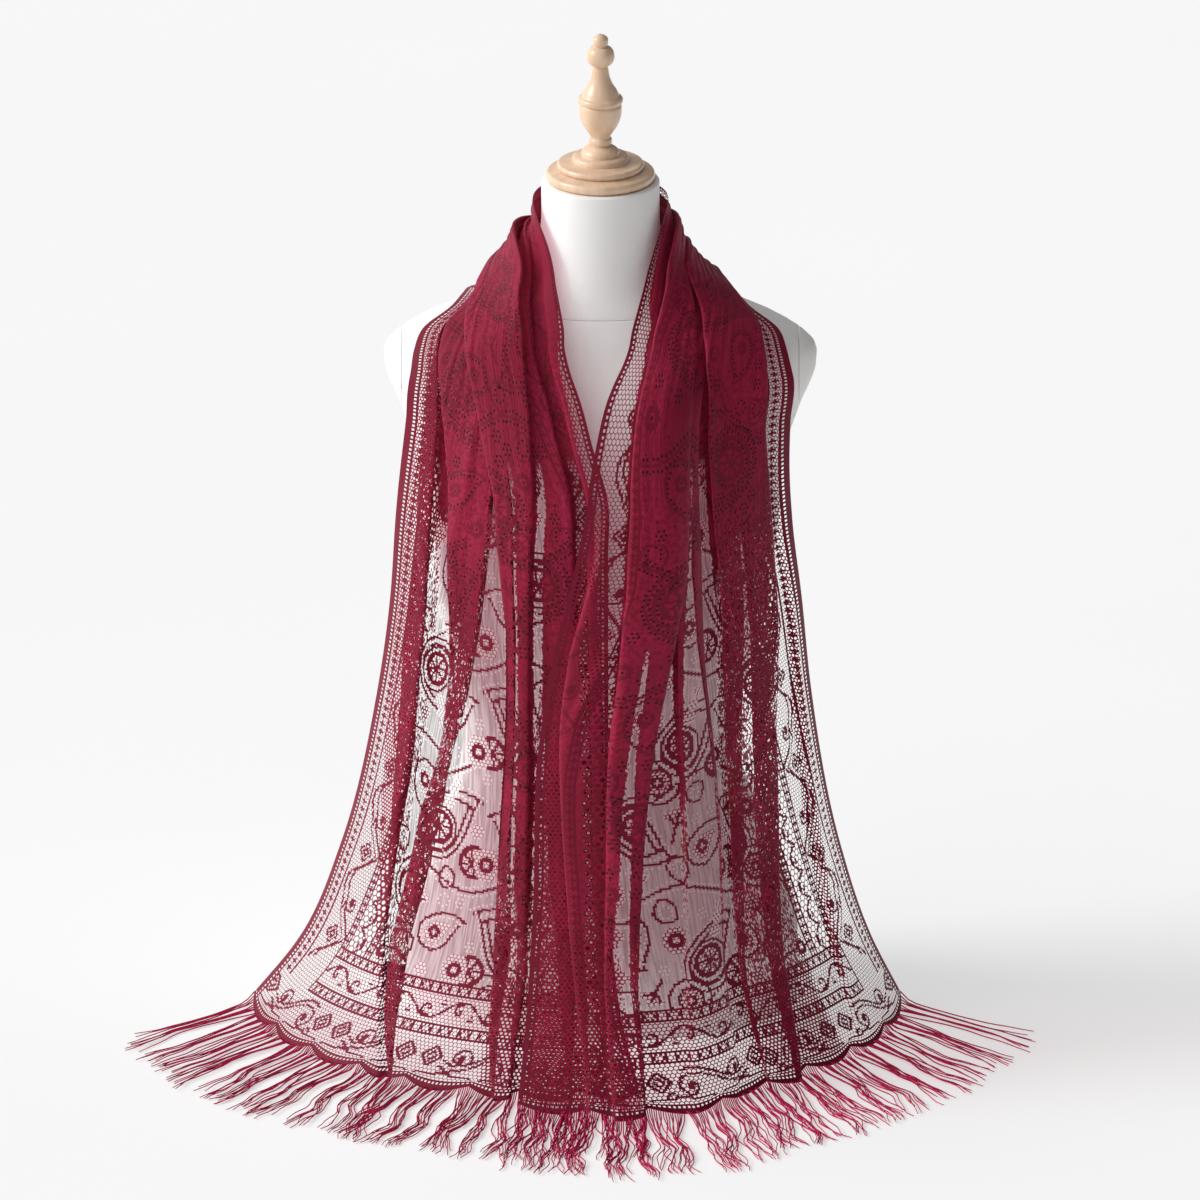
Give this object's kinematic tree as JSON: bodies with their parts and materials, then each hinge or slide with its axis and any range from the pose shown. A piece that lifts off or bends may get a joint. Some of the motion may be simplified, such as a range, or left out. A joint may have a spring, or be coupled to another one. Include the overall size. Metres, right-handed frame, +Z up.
{
  "type": "lace shawl on dress form",
  "caption": "Lace shawl with scalloped, fringed ends, hung round the neck of a limbless dress form and spread on the table.",
  "frame": {"origin": "centre of the dress form's flat base, where its axis meets the table", "axes": "+Z up along the form's axis, -Y to the front, +X to the right as seen from the front"},
  "size_m": [0.7791, 0.571, 0.8675],
  "materials": {
    "lace": "wine red machine lace, soft sheen",
    "fringe": "wine red twisted thread",
    "canvas": "white plain-woven cover, stretched smooth",
    "wood": "pale turned wood, satin lacquer"
  },
  "bodies": {
    "root": {"cloth_left": "lace", "cloth_right": "lace", "cloth_back": "lace", "fringe_left": "fringe", "fringe_right": "fringe", "form_torso": "canvas", "form_neck": "canvas", "form_plate_left": "canvas", "form_plate_right": "canvas", "wood_cap": "wood", "wood_finial": "wood"}
  },
  "joints": []
}
